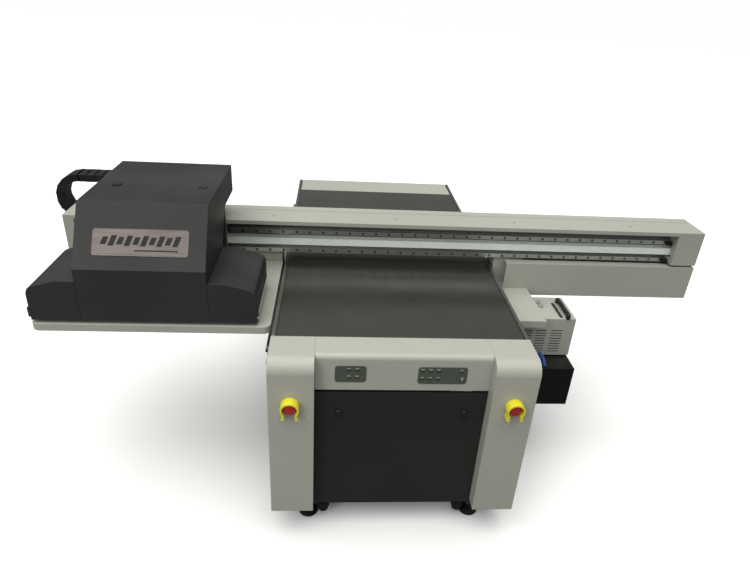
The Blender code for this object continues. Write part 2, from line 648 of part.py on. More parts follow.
def main():
    clear_scene()
    cream = material("cream_paint", (0.62, 0.62, 0.56), 0.0, 0.45)
    grey = material("hood_paint", (0.075, 0.075, 0.08), 0.0, 0.5)
    door = material("door_paint", (0.05, 0.05, 0.05), 0.0, 0.55)
    frame = material("frame_paint", (0.08, 0.09, 0.10), 0.0, 0.6)
    table = material("table_alloy", (0.16, 0.155, 0.145), 0.9, 0.35)
    alloy = material("alloy", (0.45, 0.46, 0.45), 0.9, 0.4)
    steel = material("rail_steel", (0.62, 0.63, 0.62), 1.0, 0.25)
    black = material("black_plastic", (0.012, 0.012, 0.012), 0.0, 0.5)
    box_paint = material("box_paint", (0.012, 0.013, 0.012), 0.0, 0.55)
    yellow = material("stop_yellow", (0.80, 0.72, 0.02), 0.0, 0.4)
    red = material("stop_red", (0.50, 0.03, 0.02), 0.0, 0.35)
    key = material("membrane", (0.30, 0.32, 0.28), 0.0, 0.5)
    belt = material("belt_rubber", (0.60, 0.62, 0.60), 0.0, 0.7)
    motor = material("motor_iron", (0.05, 0.06, 0.07), 0.3, 0.6)
    white = material("cooler_paint", (0.70, 0.70, 0.64), 0.0, 0.45)
    plate = material("plate_metal", (0.55, 0.50, 0.47), 1.0, 0.35)

    base_frame(frame)
    front_column("left", cream, black)
    front_column("right", cream, black)
    front_fascia(cream)
    side_panels(cream)
    vacuum_table(table)
    side_ledge("left", frame, steel, alloy)
    side_ledge("right", frame, steel, alloy)
    control_panels(key)
    emergency_stop("left", yellow, red)
    emergency_stop("right", yellow, red)
    front_door(door, black)
    inside_cabinet(frame, motor)
    levelling_feet(black)
    leg("left", cream)
    leg("right", cream)
    beam(alloy)
    beam_covers(cream)
    beam_skirt(cream)
    x_rails(steel)
    carriage_drive(belt, alloy, motor)
    parking_tray(cream, black)
    cooler(white, black)
    energy_chain(black, alloy)
    slider(alloy)
    head_plate(alloy)
    head_parts(black, alloy)
    hood(grey, black, plate)
    lamp_covers(grey, black)


main()
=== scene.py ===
"""Looks of the flatbed UV printer: skins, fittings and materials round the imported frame."""
import json
import math

import bmesh
import bpy
from mathutils import Matrix, Vector


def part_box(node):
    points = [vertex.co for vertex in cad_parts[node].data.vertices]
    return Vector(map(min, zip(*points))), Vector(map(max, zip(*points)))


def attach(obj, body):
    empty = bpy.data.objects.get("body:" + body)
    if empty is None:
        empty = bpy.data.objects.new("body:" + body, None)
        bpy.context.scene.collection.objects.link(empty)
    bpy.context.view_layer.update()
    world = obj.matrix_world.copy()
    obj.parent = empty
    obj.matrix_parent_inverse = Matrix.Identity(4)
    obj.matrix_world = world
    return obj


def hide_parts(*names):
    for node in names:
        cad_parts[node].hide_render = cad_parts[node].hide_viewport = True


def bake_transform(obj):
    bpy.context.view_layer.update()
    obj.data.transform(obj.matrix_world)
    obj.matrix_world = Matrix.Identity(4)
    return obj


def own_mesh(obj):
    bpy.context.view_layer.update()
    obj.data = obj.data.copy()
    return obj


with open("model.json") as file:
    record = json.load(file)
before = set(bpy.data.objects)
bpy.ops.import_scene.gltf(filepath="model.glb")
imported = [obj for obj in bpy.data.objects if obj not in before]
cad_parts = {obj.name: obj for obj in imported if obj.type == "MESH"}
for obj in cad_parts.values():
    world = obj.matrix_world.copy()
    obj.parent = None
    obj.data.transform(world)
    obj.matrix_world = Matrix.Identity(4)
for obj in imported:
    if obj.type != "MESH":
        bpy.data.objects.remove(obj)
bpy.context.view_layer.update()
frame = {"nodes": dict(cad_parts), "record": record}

RECORD = frame["record"]
BODY_OF = {node: body for body, nodes in RECORD["behaviour"]["bodies"].items() for node in nodes}
SLOT_OF = {row["node"]: row["material_slot"] for row in RECORD["subparts"]}
BED_LOW, BED_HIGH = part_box("vacuum_table")
BED_MIDDLE = (BED_LOW[0] + BED_HIGH[0]) / 2
BED_FRONT = BED_LOW[1]
BED_TOP = BED_HIGH[2]

SIDES = ("left", "right")
AXIS_X, AXIS_Y, AXIS_Z = (1, 0, 0), (0, 1, 0), (0, 0, 1)

# Lengths are in metres.
RAIL_PITCH = 0.060  # between the fixing holes of a linear rail
RAIL_HEIGHTS = (0.996, 0.907)  # middles of the upper and lower rail
LINK_PITCH = 0.036
HOSE_RADIUS = 0.0070
HOSE_ROWS = (-0.026, -0.009, 0.008, 0.025)  # across the chain, from its middle
BOLTS_FROM, BOLTS_TO = -1.350, 1.318  # stretch of the rails that has fixing holes

SHARP_ANGLE = math.radians(24.0)  # faces that meet at more than this stay creased
CORNER_ANGLE = math.radians(28)  # edges of a node sharper than this are eased
RIM_ANGLE = math.radians(60)  # the same for discs and the nameplate

WORLD_LIGHT = 0.38  # strength of the surroundings as light
WORLD_MIRRORED = 0.22  # their strength in reflections
WORLD_SEEN = 1.0  # their strength to the camera
FLOOR_LIGHT, FLOOR_SEEN = 0.18, 0.96  # grey of the floor to the light, and to the camera
CAMERA_LENS = 27.857
CAMERA_PLACE = (-0.2726, -1.8087, 2.0263)
CAMERA_TURN = (62.5708, -3.1603, -3.2965)


def at(x, y, z):
    """A point given from the middle of the table's front edge, with its height from the floor."""
    return Vector((BED_MIDDLE + x, BED_FRONT + y, z))


def middle_of(low, high):
    return tuple((a + b) / 2 for a, b in zip(low, high))


# ------------------------------------------------------------------ node groups


def new_group(name, inputs):
    """A shader group with these input sockets that gives a colour, a roughness and a normal."""
    group = bpy.data.node_groups.new(name, "ShaderNodeTree")
    for label, kind, value in inputs:
        item = group.interface.new_socket(label, in_out="INPUT", socket_type=kind)
        item.default_value = value
    for label, kind in (("Colour", "Color"), ("Roughness", "Float"), ("Normal", "Vector")):
        group.interface.new_socket(label, in_out="OUTPUT", socket_type=f"NodeSocket{kind}")
    start = group.nodes.new("NodeGroupInput")
    end = group.nodes.new("NodeGroupOutput")
    return group, start, end


def noise(group, vector, scale, detail, seed):
    """A noise field with its scale from a socket, moved by a fixed offset so that fields differ."""
    shift = group.nodes.new("ShaderNodeVectorMath")
    shift.operation = "ADD"
    shift.inputs[1].default_value = (seed, seed * 0.7, seed * 1.3)
    group.links.new(vector, shift.inputs[0])
    field = group.nodes.new("ShaderNodeTexNoise")
    field.inputs["Detail"].default_value = detail
    group.links.new(shift.outputs[0], field.inputs["Vector"])
    group.links.new(scale, field.inputs["Scale"])
    return field.outputs["Fac"]


def spread(group, value, low, high, out_low=0.0, out_high=1.0):
    node = group.nodes.new("ShaderNodeMapRange")
    node.interpolation_type = "SMOOTHSTEP"
    node.inputs["From Min"].default_value = low
    node.inputs["From Max"].default_value = high
    node.inputs["To Min"].default_value = out_low
    node.inputs["To Max"].default_value = out_high
    group.links.new(value, node.inputs["Value"])
    return node.outputs["Result"]


def multiply(group, one, two):
    node = group.nodes.new("ShaderNodeMath")
    node.operation = "MULTIPLY"
    group.links.new(one, node.inputs[0])
    group.links.new(two, node.inputs[1])
    return node.outputs[0]


def blend_colour(group, factor, one, two):
    node = group.nodes.new("ShaderNodeMix")
    node.data_type = "RGBA"
    group.links.new(factor, node.inputs[0])
    group.links.new(one, node.inputs[6])
    group.links.new(two, node.inputs[7])
    return node.outputs[2]


def blend_value(group, factor, one, two):
    node = group.nodes.new("ShaderNodeMix")
    node.data_type = "FLOAT"
    group.links.new(factor, node.inputs[0])
    group.links.new(one, node.inputs[2])
    group.links.new(two, node.inputs[3])
    return node.outputs[0]


def end_roughness(group, start, end, mask):
    """Roughness between the group's Smooth and Rough inputs."""
    value = blend_value(group, mask, start.outputs["Smooth"], start.outputs["Rough"])
    group.links.new(value, end.inputs["Roughness"])


def end_normal(group, end, distance, strength, height):
    bump = group.nodes.new("ShaderNodeBump")
    bump.inputs["Distance"].default_value = distance
    group.links.new(strength, bump.inputs["Strength"])
    group.links.new(height, bump.inputs["Height"])
    group.links.new(bump.outputs["Normal"], end.inputs["Normal"])


def finish_group():
    """Patchy colour and roughness with a fine grain, for paint, film, rubber and mouldings."""
    group, start, end = new_group(
        "Grained Finish",
        [
            ("Tint", "NodeSocketColor", (0.5, 0.5, 0.5, 1)),
            ("Second Tint", "NodeSocketColor", (0.4, 0.4, 0.4, 1)),
            ("Patch Scale", "NodeSocketFloat", 3.0),
            ("Speck Scale", "NodeSocketFloat", 260.0),
            ("Grain Scale", "NodeSocketFloat", 900.0),
            ("Grain Depth", "NodeSocketFloat", 0.1),
            ("Smooth", "NodeSocketFloat", 0.4),
            ("Rough", "NodeSocketFloat", 0.5),
            ("Dust", "NodeSocketFloat", 0.1),
            ("Dust Tint", "NodeSocketColor", (0.6, 0.58, 0.54, 1)),
        ],
    )
    given = start.outputs
    place = group.nodes.new("ShaderNodeTexCoord").outputs["Object"]
    patch = noise(group, place, given["Patch Scale"], 5.0, 3.1)
    grain = noise(group, place, given["Grain Scale"], 2.0, 7.7)
    mask = spread(group, patch, 0.35, 0.65)
    broad = blend_colour(group, mask, given["Tint"], given["Second Tint"])
    speck = noise(group, place, given["Speck Scale"], 3.0, 17.9)
    speckled = group.nodes.new("ShaderNodeVectorMath")
    speckled.operation = "SCALE"
    group.links.new(broad, speckled.inputs[0])
    group.links.new(spread(group, speck, 0.30, 0.72, 0.93, 1.08), speckled.inputs["Scale"])

    # Dust lies in flecks on faces that look up.
    face = group.nodes.new("ShaderNodeNewGeometry")
    split = group.nodes.new("ShaderNodeSeparateXYZ")
    group.links.new(face.outputs["Normal"], split.inputs[0])
    up = spread(group, split.outputs["Z"], 0.55, 0.95)
    fleck = spread(group, noise(group, place, given["Patch Scale"], 8.0, 11.3), 0.40, 0.75)
    amount = multiply(group, multiply(group, up, fleck), given["Dust"])
    dusty = blend_colour(group, amount, speckled.outputs[0], given["Dust Tint"])
    group.links.new(dusty, end.inputs["Colour"])

    end_roughness(group, start, end, spread(group, patch, 0.30, 0.70))
    end_normal(group, end, 0.0004, given["Grain Depth"], grain)
    return group


def brushed_group():
    """Fine lines along one axis, for drawn, ground and brushed metal."""
    group, start, end = new_group(
        "Brushed Lines",
        [
            ("Tint", "NodeSocketColor", (0.6, 0.6, 0.6, 1)),
            ("Second Tint", "NodeSocketColor", (0.5, 0.5, 0.5, 1)),
            ("Stretch", "NodeSocketVector", (2.0, 200.0, 200.0)),
            ("Line Scale", "NodeSocketFloat", 4.0),
            ("Line Depth", "NodeSocketFloat", 0.15),
            ("Smooth", "NodeSocketFloat", 0.25),
            ("Rough", "NodeSocketFloat", 0.45),
        ],
    )
    given = start.outputs
    place = group.nodes.new("ShaderNodeTexCoord").outputs["Object"]
    pull = group.nodes.new("ShaderNodeVectorMath")
    pull.operation = "MULTIPLY"
    group.links.new(place, pull.inputs[0])
    group.links.new(given["Stretch"], pull.inputs[1])
    lines = noise(group, pull.outputs[0], given["Line Scale"], 4.0, 5.9)
    mask = spread(group, lines, 0.30, 0.70)
    tint = blend_colour(group, mask, given["Tint"], given["Second Tint"])
    group.links.new(tint, end.inputs["Colour"])
    end_roughness(group, start, end, mask)
    end_normal(group, end, 0.0002, given["Line Depth"], lines)
    return group


GRAINED = finish_group()
BRUSHED = brushed_group()


def make_material(name, group, values, metallic=0.0, coat=0.0, specular=0.5):
    """A material whose colour, roughness and normal come from a group set to these values."""
    mat = bpy.data.materials.new(name)
    mat.use_nodes = True
    nodes = mat.node_tree.nodes
    shader = nodes["Principled BSDF"]
    shader.inputs["Metallic"].default_value = metallic
    shader.inputs["Coat Weight"].default_value = coat
    shader.inputs["Coat Roughness"].default_value = 0.15
    shader.inputs["Specular IOR Level"].default_value = specular
    finish = nodes.new("ShaderNodeGroup")
    finish.node_tree = group
    for label, value in values.items():
        entry = finish.inputs[label]
        entry.default_value = (*value, 1.0) if entry.type == "RGBA" else value
    link = mat.node_tree.links.new
    link(finish.outputs["Colour"], shader.inputs["Base Color"])
    link(finish.outputs["Roughness"], shader.inputs["Roughness"])
    link(finish.outputs["Normal"], shader.inputs["Normal"])
    return mat


def grained(name, tint, second, patch, grain, depth, smooth, rough, dust, **more):
    values = {
        "Tint": tint, "Second Tint": second, "Patch Scale": patch, "Grain Scale": grain,
        "Grain Depth": depth, "Smooth": smooth, "Rough": rough, "Dust": dust,
    }
    return make_material(name, GRAINED, values, **more)


def brushed(name, tint, second, stretch, scale, depth, smooth, rough):
    values = {
        "Tint": tint, "Second Tint": second, "Stretch": stretch, "Line Scale": scale,
        "Line Depth": depth, "Smooth": smooth, "Rough": rough,
    }
    return make_material(name, BRUSHED, values, metallic=1.0)


CREAM = (0.400, 0.400, 0.350)
MATERIALS = {
    "cream_paint": grained(
        "Cream Powder Coat", CREAM, (0.380, 0.380, 0.333),
        patch=2.0, grain=1400, depth=0.25, smooth=0.42, rough=0.52, dust=0.06,
    ),
    "hood_paint": grained(
        "Charcoal Powder Coat", (0.0265, 0.0260, 0.0262), (0.0225, 0.0221, 0.0223),
        patch=3.0, grain=1100, depth=0.5, smooth=0.44, rough=0.55, dust=0.03, specular=0.36,
    ),
    "door_paint": grained(
        "Dark Door Coat", (0.0200, 0.0210, 0.0185), (0.0165, 0.0175, 0.0155),
        patch=2.5, grain=1200, depth=0.4, smooth=0.45, rough=0.58, dust=0.01, specular=0.30,
    ),
    "frame_paint": grained(
        "Frame Paint", (0.055, 0.058, 0.060), (0.042, 0.044, 0.046),
        patch=5.0, grain=500, depth=0.3, smooth=0.5, rough=0.65, dust=0.2,
    ),
    "table_alloy": grained(
        "Anodised Table", (0.185, 0.178, 0.158), (0.160, 0.154, 0.137),
        patch=4.0, grain=1500, depth=0.10, smooth=0.19, rough=0.27, dust=0.02, metallic=0.85,
    ),
    "alloy": brushed(
        "Mill Alloy", (0.42, 0.43, 0.41), (0.33, 0.34, 0.33),
        stretch=(2.0, 180.0, 180.0), scale=5.0, depth=0.2, smooth=0.32, rough=0.5,
    ),
    "rail_steel": brushed(
        "Ground Rail Steel", (0.74, 0.77, 0.74), (0.48, 0.50, 0.48),
        stretch=(1.5, 260.0, 260.0), scale=5.0, depth=0.15, smooth=0.22, rough=0.38,
    ),
    "black_plastic": grained(
        "Black Moulding", (0.008, 0.008, 0.008), (0.012, 0.012, 0.0125),
        patch=12.0, grain=700, depth=0.3, smooth=0.38, rough=0.55, dust=0.04, specular=0.28,
    ),
    "box_paint": grained(
        "Black Box Coat", (0.0050, 0.0052, 0.0048), (0.0070, 0.0074, 0.0068),
        patch=5.0, grain=900, depth=0.4, smooth=0.5, rough=0.62, dust=0.03, specular=0.16,
    ),
    "stop_yellow": grained(
        "Yellow Moulding", (0.80, 0.74, 0.030), (0.74, 0.67, 0.025),
        patch=10.0, grain=600, depth=0.08, smooth=0.28, rough=0.36, dust=0.02, coat=0.2,
    ),
    "stop_red": grained(
        "Red Moulding", (0.44, 0.016, 0.013), (0.36, 0.012, 0.010),
        patch=14.0, grain=700, depth=0.08, smooth=0.25, rough=0.35, dust=0.02, coat=0.25,
    ),
    "membrane": grained(
        "Membrane Film", (0.072, 0.086, 0.064), (0.066, 0.079, 0.059),
        patch=20.0, grain=1600, depth=0.15, smooth=0.38, rough=0.48, dust=0.03,
    ),
    "belt_rubber": grained(
        "Pale Belt", (0.86, 0.91, 0.88), (0.80, 0.85, 0.82),
        patch=8.0, grain=800, depth=0.3, smooth=0.45, rough=0.6, dust=0.02,
    ),
    "motor_iron": grained(
        "Motor Casting", (0.045, 0.050, 0.055), (0.035, 0.040, 0.045),
        patch=10.0, grain=400, depth=0.5, smooth=0.45, rough=0.6, dust=0.25, metallic=0.3,
    ),
    "cooler_paint": grained(
        "White Powder Coat", (0.42, 0.42, 0.375), (0.39, 0.39, 0.35),
        patch=5.0, grain=1300, depth=0.25, smooth=0.4, rough=0.5, dust=0.06,
    ),
    "plate_metal": brushed(
        "Brushed Plate", (0.180, 0.156, 0.147), (0.105, 0.092, 0.087),
        stretch=(1.0, 160.0, 160.0), scale=6.0, depth=0.25, smooth=0.30, rough=0.48,
    ),
}
EXTRA = {
    "trim": brushed(
        "Trim Strip", (0.40, 0.40, 0.365), (0.33, 0.33, 0.30),
        stretch=(200.0, 2.0, 200.0), scale=5.0, depth=0.15, smooth=0.3, rough=0.45,
    ),
    "screw": brushed(
        "Zinc Screw", (0.45, 0.45, 0.44), (0.35, 0.35, 0.34),
        stretch=(60.0, 60.0, 60.0), scale=6.0, depth=0.2, smooth=0.3, rough=0.45,
    ),
    # Near-black, used as painted shade in the rail bores and behind the cooler's louvres, as the
    # painted shadow of the cooler's handle, and for the dark joints in the covers.
    "shade_and_joints": grained(
        "Shadowed Recess", (0.030, 0.030, 0.029), (0.022, 0.022, 0.022),
        patch=20.0, grain=700, depth=0.2, smooth=0.5, rough=0.65, dust=0.0,
    ),
    "key_print": grained(
        "Key Print", (0.50, 0.52, 0.47), (0.44, 0.46, 0.41),
        patch=30.0, grain=1500, depth=0.1, smooth=0.35, rough=0.45, dust=0.0,
    ),
    "key_dark": grained(
        "Key Shade", (0.042, 0.051, 0.039), (0.036, 0.044, 0.034),
        patch=30.0, grain=1500, depth=0.1, smooth=0.35, rough=0.45, dust=0.0,
    ),
    "hose": grained(
        "Blue Hose", (0.020, 0.090, 0.300), (0.016, 0.075, 0.260),
        patch=20.0, grain=900, depth=0.1, smooth=0.22, rough=0.34, dust=0.0, coat=0.3,
    ),
    "glass_dark": grained(
        "Lamp Window", (0.012, 0.012, 0.016), (0.016, 0.014, 0.022),
        patch=20.0, grain=500, depth=0.05, smooth=0.12, rough=0.2, dust=0.0, coat=0.4,
    ),
    "channel": brushed(
        "Beam Channel", (0.24, 0.26, 0.245), (0.18, 0.20, 0.19),
        stretch=(2.0, 160.0, 160.0), scale=5.0, depth=0.15, smooth=0.35, rough=0.5,
    ),
    "bearer": brushed(
        "Rail Bearer", (0.52, 0.55, 0.52), (0.40, 0.42, 0.40),
        stretch=(2.0, 160.0, 160.0), scale=5.0, depth=0.15, smooth=0.32, rough=0.46,
    ),
    "bright": grained(
        "White Moulding", (0.66, 0.66, 0.64), (0.60, 0.60, 0.58),
        patch=15.0, grain=900, depth=0.1, smooth=0.3, rough=0.4, dust=0.0,
    ),
}


# ------------------------------------------------------------------ pieces


def add_piece(name, bm, body, slot, mat=None, replaces=()):
    """Makes an object of the mesh, standing for these nodes. It rides on a body, or on none if no
    body is given."""
    mesh = bpy.data.meshes.new(name)
    bm.to_mesh(mesh)
    bm.free()
    for face in mesh.polygons:
        face.use_smooth = True
    mesh.set_sharp_from_angle(angle=SHARP_ANGLE)
    mesh.materials.append(mat or MATERIALS[slot])
    obj = bpy.data.objects.new(name, mesh)
    bpy.context.scene.collection.objects.link(obj)
    if body:
        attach(obj, body)
    if body:
        shade = obj.modifiers.new("Even Shading", "WEIGHTED_NORMAL")
        shade.keep_sharp = True
        shade.weight = 100
    if replaces:
        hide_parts(*replaces)


def round_edges(bm, edges, width, segments):
    bmesh.ops.bevel(
        bm, geom=edges, offset=width, offset_type="OFFSET", segments=segments, profile=0.5,
        affect="EDGES", clamp_overlap=True, material=-1,
    )


def edges_of(verts):
    """Every edge at these vertices once, in the same order each run."""
    return list(dict.fromkeys(e for v in verts for e in v.link_edges))


def soften(node, width, segments=2, mat=None):
    """The node's own shape with its corners eased, standing for the node."""
    bm = bmesh.new()
    bm.from_mesh(frame["nodes"][node].data)
    bmesh.ops.remove_doubles(bm, verts=bm.verts, dist=1e-5)
    bmesh.ops.dissolve_limit(bm, angle_limit=math.radians(1.0), verts=bm.verts, edges=bm.edges)
    edges = [e for e in bm.edges if e.is_manifold and e.calc_face_angle(0.0) > CORNER_ANGLE]
    round_edges(bm, edges, width, segments)
    add_piece(f"{node}_skin", bm, BODY_OF[node], SLOT_OF[node], mat, (node,))


def add_block(bm, low, high, ease=0.0, segments=2, turn=None, pivot=None):
    """A block between two corners, with eased edges, turned about a pivot if asked."""
    made = bmesh.ops.create_cube(bm, size=1.0)["verts"]
    bmesh.ops.scale(bm, vec=high - low, verts=made)
    bmesh.ops.translate(bm, vec=(low + high) / 2, verts=made)
    if turn is not None:
        bmesh.ops.rotate(bm, cent=pivot, matrix=turn, verts=made)
    if ease > 0:
        round_edges(bm, edges_of(made), ease, segments)


def add_disc(bm, centre, axis, radius, depth, steps=20, ease=0.0):
    """A short cylinder centred on a point, with its rims eased if asked."""
    turn = Vector(AXIS_Z).rotation_difference(Vector(axis)).to_matrix()
    made = bmesh.ops.create_cone(
        bm, cap_ends=True, cap_tris=False, segments=steps,
        radius1=radius, radius2=radius, depth=depth,
    )["verts"]
    bmesh.ops.rotate(bm, cent=(0, 0, 0), matrix=turn, verts=made)
    bmesh.ops.translate(bm, vec=centre, verts=made)
    if ease > 0:
        rims = [e for e in edges_of(made) if e.calc_face_angle(0.0) > RIM_ANGLE]
        round_edges(bm, rims, ease, 2)


def add_tube(bm, points, radius, steps):
    """A round tube along a list of points, closed at both ends."""
    tube = bmesh.new()
    ring = None
    for i, point in enumerate(points):
        ahead = points[min(i + 1, len(points) - 1)] - points[max(i - 1, 0)]
        turn = Vector(AXIS_Z).rotation_difference(ahead.normalized()).to_matrix()
        made = bmesh.ops.create_circle(tube, cap_ends=False, segments=steps, radius=radius)["verts"]
        bmesh.ops.rotate(tube, cent=(0, 0, 0), matrix=turn, verts=made)
        bmesh.ops.translate(tube, vec=point, verts=made)
        edges = edges_of(made)
        if ring is None:
            bmesh.ops.contextual_create(tube, geom=edges)
        else:
            bmesh.ops.bridge_loops(tube, edges=ring + edges)
        ring = edges
    bmesh.ops.contextual_create(tube, geom=ring)
    bmesh.ops.recalc_face_normals(tube, faces=tube.faces)
    mesh = bpy.data.meshes.new("tube")
    tube.to_mesh(mesh)
    tube.free()
    bm.from_mesh(mesh)
    bpy.data.meshes.remove(mesh)


def block_piece(name, low, high, body, slot, ease=0.0008):
    bm = bmesh.new()
    add_block(bm, low, high, ease)
    add_piece(name, bm, body, slot)


# ------------------------------------------------------------------ cabinet


def cabinet():
    cover_low, cover_high = (0.0008, 0.6003), (0.1694, 0.7950)
    for side in SIDES:
        soften(f"{side}_front_column", 0.0010)
        soften(f"{side}_side_panel", 0.0006, 1)
        soften(f"{side}_rail_ledge", 0.0008, 1)
        soften(f"{side}_gantry_rail", 0.0006, 1)
        soften(f"{side}_gantry_screw", 0.0005, 1)
        x = (-0.4900, -0.4862) if side == "left" else (0.4862, 0.4900)
        low, high = at(x[0], *cover_low), at(x[1], *cover_high)
        slot = SLOT_OF[f"{side}_rail_ledge"]
        block_piece(f"{side}_ledge_end_cover", low, high, "table", slot)
    soften("front_fascia", 0.0008)
    soften("rear_panel", 0.0006, 1)
    soften("base_frame", 0.0030)
    soften("cabinet_floor", 0.0006, 1)
    soften("vacuum_pump", 0.0020)
    soften("front_door", 0.0009)
    for row in ("front", "rear"):
        for side in SIDES:
            foot(row, side)


def foot(row, side):
    """Levelling foot: the pad and stud, with two lock nuts, and a stub beside each front foot."""
    node = f"{row}_{side}_foot"
    soften(node, 0.0008)
    x, y, _ = middle_of(*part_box(node))
    bm = bmesh.new()
    for z in (0.040, 0.091):
        add_disc(bm, Vector((x, y, z)), AXIS_Z, 0.0115, 0.010, 6, 0.0006)
    add_piece(f"{node}_nuts", bm, "table", "black_plastic", EXTRA["screw"])
    if row == "front":
        inward = 0.062 if side == "left" else -0.062
        bm = bmesh.new()
        for z, radius, depth, ease in ((0.086, 0.026, 0.0275, 0.002), (0.062, 0.020, 0.022, 0.001)):
            add_disc(bm, Vector((x + inward, y - 0.035, z)), AXIS_Z, radius, depth, 20, ease)
        add_piece(f"{node}_stop", bm, "table", "black_plastic")


def table_top():
    """The table, with its light edge trims and the pale strip across its back, all nearly flush."""
    soften("vacuum_table", 0.0008)
    sunk, proud = BED_TOP - 0.0005, BED_TOP + 0.0006
    for side, sign in zip(SIDES, (-1, 1)):
        near, far = sorted((sign * 0.4708, sign * 0.4844))
        bm = bmesh.new()
        add_block(bm, at(near, 0.002, sunk), at(far, 1.860, proud), 0.0004, 1)
        add_piece(f"table_trim_{side}", bm, "table", "alloy", EXTRA["trim"])
    bm = bmesh.new()
    add_block(bm, at(-0.4650, 1.660, sunk), at(0.4650, 1.860, proud), 0.0004, 1)
    add_piece("table_back_strip", bm, "table", "alloy", MATERIALS["cream_paint"])


def panels():
    """Membrane panels with blank keys: four on the left one, eight on the right one."""
    for side in SIDES:
        soften(f"{side}_control_panel", 0.0006)
    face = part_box("left_control_panel")[0][1]
    keys = [(x, z) for z in (0.797, 0.765) for x in (-0.200, -0.170)]
    keys += [(x, z) for z in (0.796, 0.761) for x in (0.066, 0.095, 0.124)]
    keys += [(0.208, 0.794), (0.213, 0.758)]
    pads, marks = bmesh.new(), bmesh.new()

    def on_face(x, z, rise):
        return Vector((at(x, 0, 0).x, face - rise, z))

    for x, z in keys:
        z -= 0.006
        pad = on_face(x - 0.009, z - 0.010, 0.0007), on_face(x + 0.009, z + 0.008, 0.00005)
        add_block(pads, *pad, 0.0003, 1)
        mark = on_face(x - 0.0065, z + 0.0035, 0.0010), on_face(x + 0.0065, z + 0.0065, 0.0006)
        add_block(marks, *mark)
    x = at(0.213, 0, 0).x
    low, high = (x - 0.0020, face - 0.0010, 0.746), (x + 0.0020, face - 0.0006, 0.762)
    add_block(marks, Vector(low), Vector(high))
    add_piece("panel_keys", pads, "table", "membrane", EXTRA["key_dark"])
    add_piece("panel_key_marks", marks, "table", "membrane", EXTRA["key_print"])


def stops():
    """Emergency stops: shroud, button, and a round base behind the button."""
    for side in SIDES:
        soften(f"{side}_stop_shroud", 0.0025, 3)
        soften(f"{side}_stop_button", 0.0008)
        low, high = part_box(f"{side}_stop_shroud")
        x, _, z = middle_of(low, high)
        bm = bmesh.new()
        add_disc(bm, Vector((x, high[1] - 0.0015, z + 0.006)), AXIS_Y, 0.0262, 0.003, 28, 0.0006)
        add_piece(f"{side}_stop_base", bm, "table", "stop_yellow")


def door_locks():
    for side in SIDES:
        node = f"{side}_door_lock"
        soften(node, 0.0006)
        low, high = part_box(node)
        x, _, z = middle_of(low, high)
        grip_low = Vector((x - 0.010, low[1] - 0.0016, z - 0.0022))
        grip_high = Vector((x + 0.010, low[1] + 0.0006, z + 0.0022))
        bm = bmesh.new()
        add_block(bm, grip_low, grip_high, 0.0006)
        add_piece(f"{node}_grip", bm, BODY_OF[node], "black_plastic")


# ------------------------------------------------------------------ gantry


def gantry():
    soften("gantry_beam", 0.0008, 2, EXTRA["channel"])
    soften("beam_top_cover", 0.0009, 2)
    for node in ("left_end_cover", "right_end_cover", "beam_skirt"):
        soften(node, 0.0011, 2)
    for side, (near, far) in zip(SIDES, ((-0.5442, -0.4975), (0.4975, 0.5442))):
        low, high = at(near, 0.6460, 0.7618), at(far, 0.7690, 0.8925)
        block_piece(f"{side}_leg_gusset", low, high, "gantry", "cream_paint", 0.0020)
    low, high = at(0.5440, 0.5873, 0.8880), at(0.6648, 0.6280, 0.8905)
    block_piece("skirt_top_lip", low, high, "gantry", "cream_paint")
    for node in ("left_leg", "right_leg"):
        soften(node, 0.0030, 3)
    for node in ("upper_rail", "lower_rail"):
        soften(node, 0.0007, 2)
        rail_bolts(node)
    bm = bmesh.new()
    for z in RAIL_HEIGHTS:
        low, high = at(-1.372, 0.6495, z - 0.0158), at(1.332, 0.6522, z + 0.0158)
        add_block(bm, low, high, 0.0006, 1)
    add_piece("rail_bearers", bm, "gantry", "alloy", EXTRA["bearer"])
    soften("drive_belt", 0.0004, 1)
    soften("drive_pulley", 0.0005, 1)
    soften("idler_pulley", 0.0005, 1)
    soften("carriage_motor", 0.0030)
    soften("parking_tray", 0.0011, 2)
    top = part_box("beam_top_cover")[1][2]
    bm = bmesh.new()
    for x in (-1.083, -0.531, 0.015, 0.566, 1.123):
        add_disc(bm, at(x, 0.650, top + 0.0006), AXIS_Z, 0.0042, 0.0016, 18, 0.0006)
    add_piece("top_cover_screws", bm, "gantry", "alloy", EXTRA["screw"])
    bm = bmesh.new()
    add_block(bm, at(-1.417, 0.7212, top - 0.0005), at(1.454, 0.7228, top + 0.0002))
    add_piece("top_cover_joint", bm, "gantry", "cream_paint", EXTRA["shade_and_joints"])
    bm = bmesh.new()
    for z in RAIL_HEIGHTS:
        add_disc(bm, at(1.322, 0.624, z), AXIS_X, 0.0105, 0.024, 20, 0.002)
    add_piece("end_buffers", bm, "gantry", "black_plastic")


def rail_bolts(node):
    """Fixing holes at the standard pitch, drawn as thin discs: a near-black disc of painted shade
    for each bore, with a screw in it.
    """
    low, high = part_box(node)
    z = middle_of(low, high)[2]
    known = -0.430 if node == "upper_rail" else -0.250
    x = known - RAIL_PITCH * math.floor((known - BOLTS_FROM) / RAIL_PITCH)
    bore_shades, heads = bmesh.new(), bmesh.new()
    while x < BOLTS_TO:
        spot = Vector((at(x, 0, z).x, low[1], z))
        # Each bore is a flat near-black disc: painted shade in place of a hole.
        add_disc(bore_shades, spot + Vector((0, -0.00005, 0)), AXIS_Y, 0.0060, 0.0005, 16)
        add_disc(heads, spot + Vector((0, -0.00020, 0)), AXIS_Y, 0.0022, 0.0006, 8)
        x += RAIL_PITCH
    add_piece(f"{node}_bores", bore_shades, "gantry", "rail_steel", EXTRA["shade_and_joints"])
    add_piece(f"{node}_screws", heads, "gantry", "rail_steel", EXTRA["screw"])


